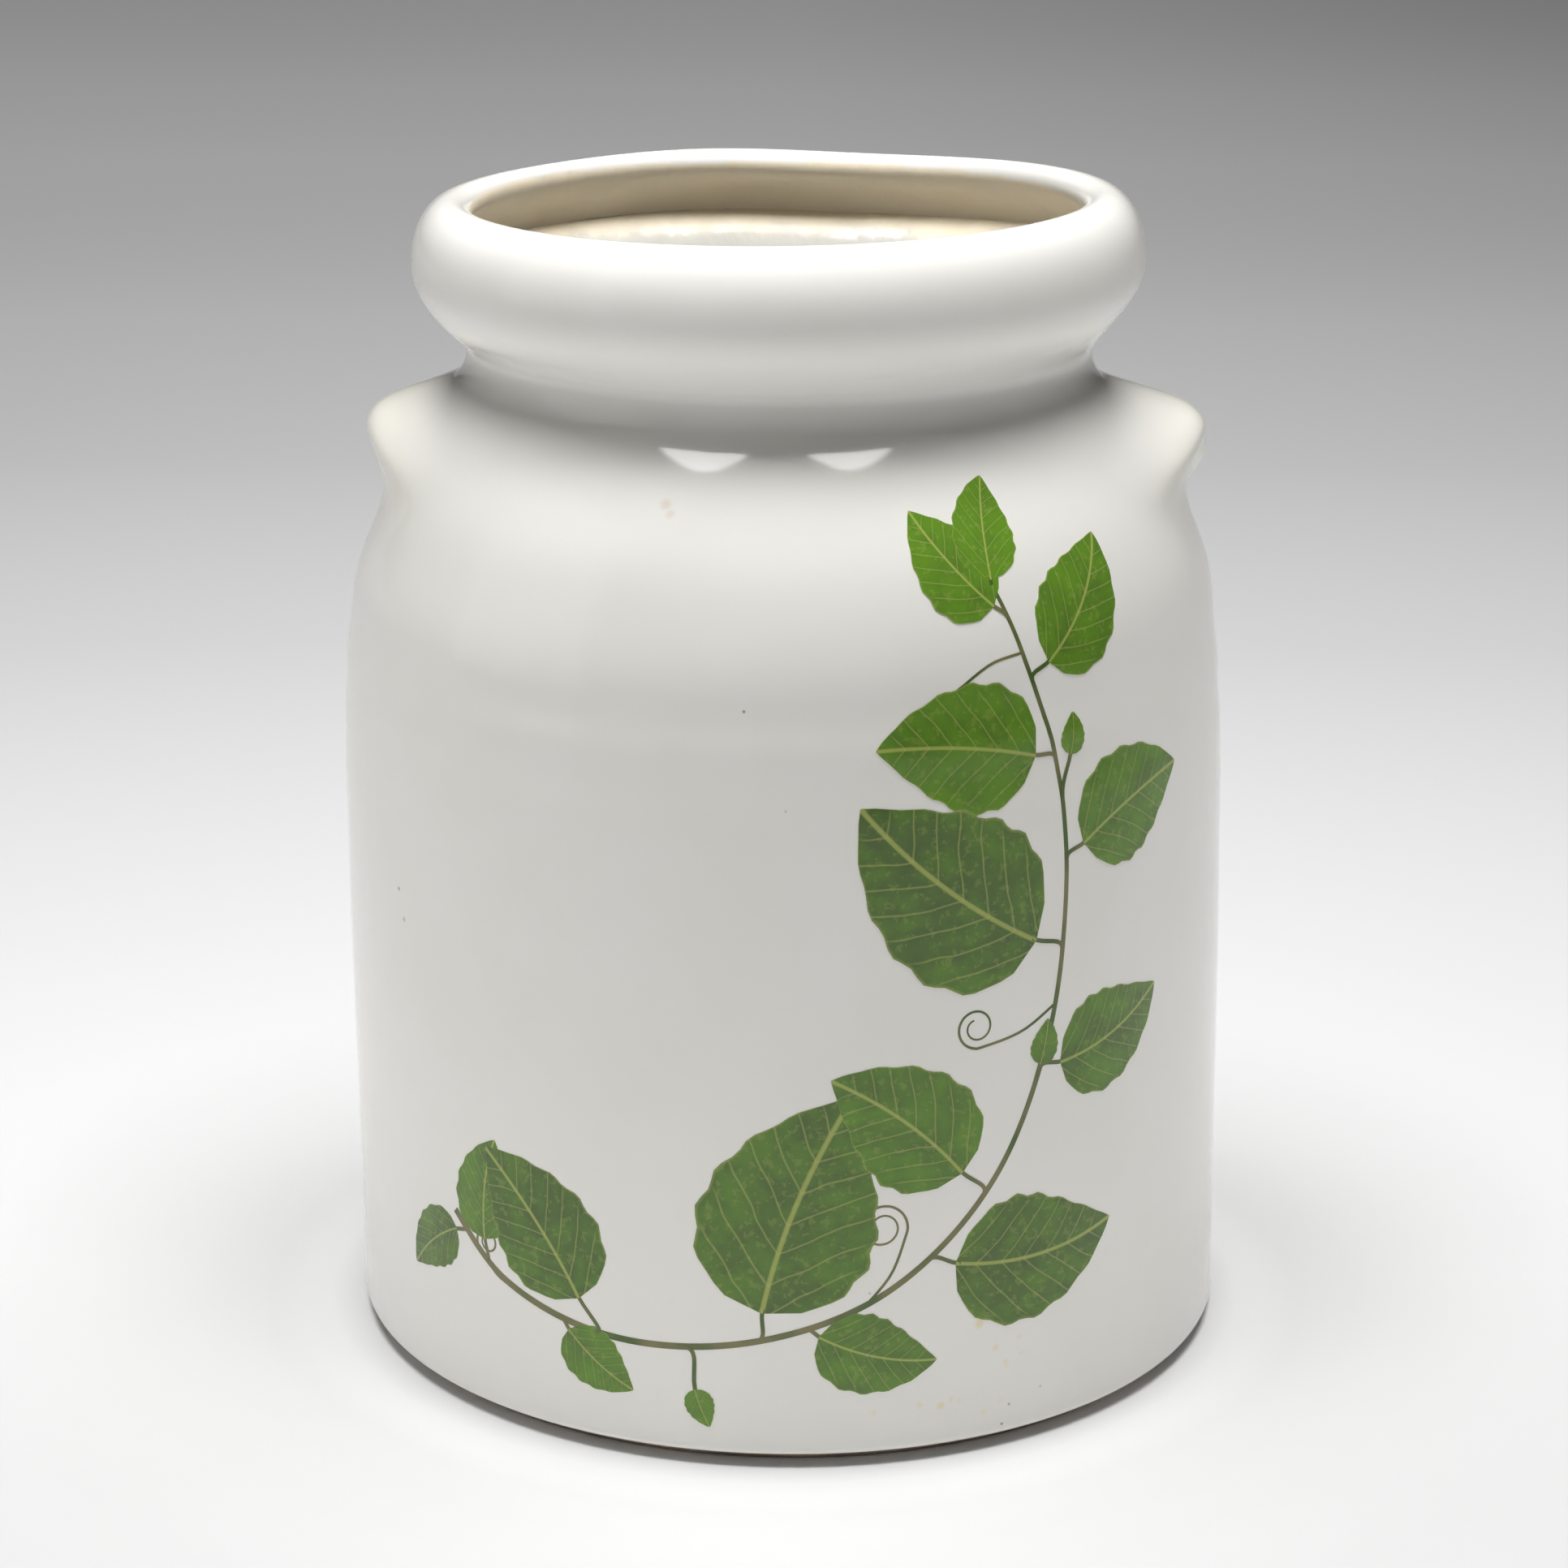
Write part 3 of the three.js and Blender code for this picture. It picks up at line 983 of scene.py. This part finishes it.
def leafWidth(s):
    # share of the full width along a leaf, round at the stalk and drawn out to the tip
    full, stalkEnd, tipEnd = garland["leafShape"]
    return full * s ** stalkEnd * (1 - s) ** tipEnd if 0 < s < 1 else 0


def addLeaf(bm, base, turn, length, width, bend, tone, proud):
    def middle(s):
        # midrib, a part of a circle
        steps = 8
        angles = [turn + bend * s * (i + 0.5) / steps for i in range(steps)]
        return (base[0] + length * s * sum(map(math.cos, angles)) / steps,
                base[1] + length * s * sum(map(math.sin, angles)) / steps)

    def reach(s, t):
        start = garland["scallopStart"][0 if t > 0 else 1]
        scallops = 1 + garland["scallop"] * math.sin(s * garland["scallopWaves"] + start) * abs(t)
        return t * leafWidth(s) * scallops

    def spot(s, t):
        wide = reach(s, t) * width / 2 + t * garland["leafEdge"]
        return onwards(middle(s), turn + bend * s + math.pi / 2, wide)

    def look(s, t):
        return tone, abs(t), s, reach(s, t)

    patch(bm, garland["along"], garland["across"], spot, proud, look, 0)


def addRibbon(bm, points, widths, along, proud):
    def spot(s, t):
        wide = t * (widths[0] + (widths[1] - widths[0]) * s) / 2
        return onwards(through(points, s), heading(points, s) + math.pi / 2, wide)

    patch(bm, along, 2, spot, proud, lambda s, t: (0, abs(t), s, t), 1)


def addStalk(bm, share, stalk, turn, proud):
    # from the stem, first along it, then bending to the leaf's own heading
    root = through(garland["stem"], share)
    tip = onwards(root, turn, stalk)
    early, late = garland["stalkPull"]
    start = onwards(root, heading(garland["stem"], share), stalk * early)
    curve = (root, start, onwards(tip, turn, -stalk * late), onwards(tip, turn, garland["stalkOverlap"]))
    steps = garland["stalkSteps"]
    points = [bezier(curve, i / steps) for i in range(steps + 1)]
    addRibbon(bm, points, garland["stalkWidth"], garland["stalkFaces"], proud)
    return tip


def addTendril(bm, share, turn, reach, curl, turns, proud):
    root = through(garland["stem"], share)
    turn = math.radians(turn)
    side = turn + math.copysign(math.pi / 2, turns)
    bow = onwards(onwards(root, turn, reach / 2), side, -garland["tendrilBow"])
    heart = onwards(onwards(root, turn, reach), side, curl)
    points = [root, bow]
    for i in range(garland["curlSteps"] + 1):
        along = i / garland["curlSteps"]
        size = curl * (1 - garland["curlShrink"] * along)
        points.append(onwards(heart, side + math.pi + turns * math.tau * along, size))
    addRibbon(bm, points, garland["tendrilWidth"], garland["tendrilFaces"], proud)


def makeGarland():
    bm = bmesh.new()
    bm.verts.layers.float.new("tone")
    bm.verts.layers.float.new("edge")
    bm.loops.layers.uv.new("leaf")
    proud = garland["proud"]
    for tendril in garland["tendrils"]:
        addTendril(bm, *tendril, proud)
        proud += garland["layer"]
    addRibbon(bm, garland["stem"], garland["stemWidth"], garland["stemFaces"], proud)
    for share, stalk, turn, length, width, bend, tone in garland["leaves"] + garland["buds"]:
        turn = math.radians(turn)
        proud += garland["layer"]
        tip = addStalk(bm, share, stalk, turn, proud)
        addLeaf(bm, tip, turn, length, width, bend, tone, proud + garland["layer"] / 2)
    bmesh.ops.recalc_face_normals(bm, faces=bm.faces)
    return addPiece("fired_print", bm, [makeLeafInk(), makeStalkInk()])


# inks: pairs and noises as in the glazes, the noises with their roughness last
inkLook = {
    "roughness": 0.07,
    "veins": 7,  # on each side of a leaf
    "veinSlant": 2.4,
    "veinWaver": 0.35,
    "waverScale": 120,
    "veinEdge": (0.44, 0.49),
    "veinEnd": (0.86, 0.95),
    "veinReach": (0.75, 1),
    "midrib": (0.014, 0.04),
    "rim": (0.955, 0.99),
    "speckle": (700, 3, 0.56, 0.62, 0.6),
    "mottle": (160, 3, 0.3, 0.7, 0.6),
    "fold": (0, 0.5),
    # how strongly the lighter lines show
    "speckleShade": 0.16,
    "veinShade": 0.42,
    "midribShade": 0.7,
    "rimShade": 0.3,
    # what makes a place lighter or darker
    "toneShare": 0.75,
    "mottleShare": 0.35,
    "creaseShare": 0.3,
    "foldShare": 0.12,
    "lightRange": (-0.1, 1.05),
    "stalkMottle": (90, 2, 0.35, 0.65),
}


def makeLeafInk():
    look = inkLook
    shader = Shader("print_leaf")
    place = shader.place()
    tone = shader.node("ShaderNodeAttribute", {"attribute_name": "tone"})["Fac"]
    edge = shader.node("ShaderNodeAttribute", {"attribute_name": "edge"})["Fac"]
    s, across, _ = shader.parts(shader.node("ShaderNodeUVMap", {"uv_map": "leaf"})["UV"])
    bow = abs(across)
    waver = shader.noise(place, look["waverScale"], 1) * look["veinWaver"]
    rows = s * look["veins"] - bow * look["veinSlant"] + waver
    crease = abs(rows.maths("FRACT", rows) - 0.5)
    veins = crease.rise(*look["veinEdge"]) * (1 - s.rise(*look["veinEnd"]))
    veins = veins * (1 - bow.rise(*look["veinReach"]))
    midrib = 1 - bow.rise(*look["midrib"])
    speckle = shader.clouds(place, *look["speckle"])
    mottle = shader.clouds(place, *look["mottle"])
    light = tone * look["toneShare"] + mottle * look["mottleShare"] - crease * look["creaseShare"]
    light = light - (1 - bow.rise(*look["fold"])) * look["foldShare"]
    colour = shader.mix(light.rise(*look["lightRange"]), garland["dark"], garland["bright"])
    for line, shade in (
        (speckle, "speckleShade"),
        (veins, "veinShade"),
        (midrib, "midribShade"),
        (edge.rise(*look["rim"]), "rimShade"),
    ):
        colour = shader.mix(line * look[shade], colour, garland["vein"])
    return shader.finish({"Base Color": colour, "Roughness": look["roughness"], "IOR": glassIndex})


def makeStalkInk():
    shader = Shader("print_stalk")
    mottle = shader.clouds(shader.place(), *inkLook["stalkMottle"])
    colour = shader.mix(mottle, garland["stalk"], garland["dark"])
    return shader.finish({"Base Color": colour, "Roughness": inkLook["roughness"], "IOR": glassIndex})


makeGarland()
print("print made")

# floor and backdrop in one wide sheet, grey in the distance, in metres
studio = {
    "floorReach": 7,
    "floorPoints": 96,
    "floorDrop": 0.0001,
    "bounce": (0.93, 0.93, 0.93),  # what the floor throws back onto the crock
    # what the camera sees of it, by distance behind the crock: colour, and further off painted light, a glow
    # of the paper that stands in for light falling on it
    "seen": [
        (-0.3, 0.6), (-0.1, 0.605), (0, 0.68), (0.2, 0.685),
        (0.36, 0.695), (0.52, 0.705), (0.77, 0.8), (1.0, 0.83),
    ],
    "paintedGlow": [(0.8, 0), (1.13, 0.108), (1.69, 0.2), (2.05, 0.216), (2.6, 0.205)],
    "paintedGlowSlant": -0.5,  # per metre to the right
    "depth": (-0.3, 3.2),  # distances at the two ends of both ramps
    # by distance from the crock's axis: painted light on the paper round the foot, which lifts the shadow the
    # crock throws there, with the contact shadow kept
    "paintedLightAtFoot": [
        (0.088, 0.45), (0.0955, 0.7), (0.101, 0.6), (0.108, 0.36),
        (0.12, 0.2), (0.135, 0.1), (0.165, 0),
    ],
    "paintedLightAtFootReach": (0, 0.2),
    "roughness": 0.9,
    "specular": 0.1,
    "world": 0.0147,
    # place, target, size, radiance, turn in degrees
    "lamps": {
        "overhead_left": ((-0.235, -0.075, 1.2), (-0.235, -0.075, 0), (0.42, 0.5), 6.8, 5),
        "overhead_right": ((0.185, -0.075, 1.2), (0.185, -0.075, 0), (0.42, 0.5), 8.3, -5),
        "softbox_left": ((-0.248, -0.061, 1.1), (-0.248, -0.061, 0), (0.43, 0.54), 9, 10),
        "softbox_right": ((0.222, -0.061, 1.1), (0.222, -0.061, 0), (0.42, 0.52), 9, -10),
        "ceiling_bounce": ((0, 0.6, 2.4), (0, 0, 0.2), (2.4, 1.6), 0.25, 0),
        "left_panel": ((-2.2, -0.7, 1.2), (0, 0, 1.2), (1.7, 2.4), 0.5, 0),
        "front_fill": ((0, -2.4, 0.9), (0, 0, 0.1), (3.0, 1.8), 0.13, 0),
    },
}


def makeStage():
    bm = bmesh.new()
    bmesh.ops.create_circle(bm, cap_ends=True, segments=studio["floorPoints"], radius=studio["floorReach"])
    bmesh.ops.translate(bm, verts=bm.verts, vec=(0, 0, -studio["floorDrop"]))
    mesh = bpy.data.meshes.new("studio_floor")
    bm.to_mesh(mesh)
    bm.free()
    floor = bpy.data.objects.new("studio_floor", mesh)
    bpy.context.scene.collection.objects.link(floor)
    shader = Shader("studio_floor")
    x, y, z = shader.parts(shader.place())

    def ramp(along, values, near, far):
        stops = [((away - near) / (far - near), (value,) * 3) for away, value in values]
        share = (along - near) / (far - near)
        return shader.node("ShaderNodeValToRGB", {"stops": stops}, {0: share})["Color"]

    path = shader.node("ShaderNodeLightPath")
    watched = path["Is Camera Ray"].maths("MAXIMUM", path["Is Camera Ray"], path["Is Glossy Ray"])
    # painted light: the far paper glows for the camera and in reflections, though it is no lamp
    paintedGlow = ramp(y, studio["paintedGlow"], *studio["depth"])
    paintedGlow = shader.mix(watched * (1 + x * studio["paintedGlowSlant"]), (0, 0, 0), paintedGlow)
    # painted light: the paper round the foot is made lighter, against the crock's shadow
    paintedLightAtFoot = shader.parts(ramp((x * x + y * y) ** 0.5, studio["paintedLightAtFoot"], *studio["paintedLightAtFootReach"]))[0]
    seen = shader.mix(paintedLightAtFoot, ramp(y, studio["seen"], *studio["depth"]), studio["bounce"])
    mesh.materials.append(shader.finish({
        "Base Color": shader.mix(watched, studio["bounce"], seen),
        "Roughness": studio["roughness"],
        "Specular IOR Level": studio["specular"],
        "Emission Color": paintedGlow,
        "Emission Strength": 1,
    }))


def addLamp(name, place, target, size, radiance, turn):
    isRound = name.startswith("softbox")
    lamp = bpy.data.lights.new(name, "AREA")
    lamp.shape = "ELLIPSE" if isRound else "RECTANGLE"
    lamp.size, lamp.size_y = size
    lamp.energy = radiance * math.pi * size[0] * size[1] * (math.pi / 4 if isRound else 1)
    rig = bpy.data.objects.new(name, lamp)
    rig.location = place
    rig.visible_glossy = not name.startswith("overhead")  # the glaze mirrors the softboxes in their place
    aim = (Vector(target) - Vector(place)).to_track_quat("-Z", "Y").to_matrix()
    rig.rotation_euler = (Matrix.Rotation(math.radians(turn), 3, "Z") @ aim).to_euler()
    bpy.context.scene.collection.objects.link(rig)


makeStage()
for name, values in studio["lamps"].items():
    addLamp(name, *values)

world = bpy.data.worlds.new("studio")
world.use_nodes = True
world.node_tree.nodes["Background"].inputs["Color"].default_value = (1, 1, 1, 1)
world.node_tree.nodes["Background"].inputs["Strength"].default_value = studio["world"]
bpy.context.scene.world = world
bpy.context.scene.view_settings.view_transform = "Standard"

# camera: where the photograph was taken from, with a slight roll
cameraLook = {
    "eye": (-0.00067, -0.7598, 0.342),
    "down": 17.04,
    "roll": 0.0057,
    "lens": 89.24,
    "sensor": 36,
    "near": 0.01,
    "far": 50,
}
cam = bpy.data.cameras.new("camera")
cam.lens = cameraLook["lens"]
cam.sensor_width = cameraLook["sensor"]
cam.clip_start = cameraLook["near"]
cam.clip_end = cameraLook["far"]
camera = bpy.data.objects.new("camera", cam)
camera.matrix_world = (
    Matrix.Translation(cameraLook["eye"])
    @ Matrix.Rotation(math.radians(90 - cameraLook["down"]), 4, "X")
    @ Matrix.Rotation(cameraLook["roll"], 4, "Z")
)
bpy.context.scene.collection.objects.link(camera)
bpy.context.scene.camera = camera
print("studio made")
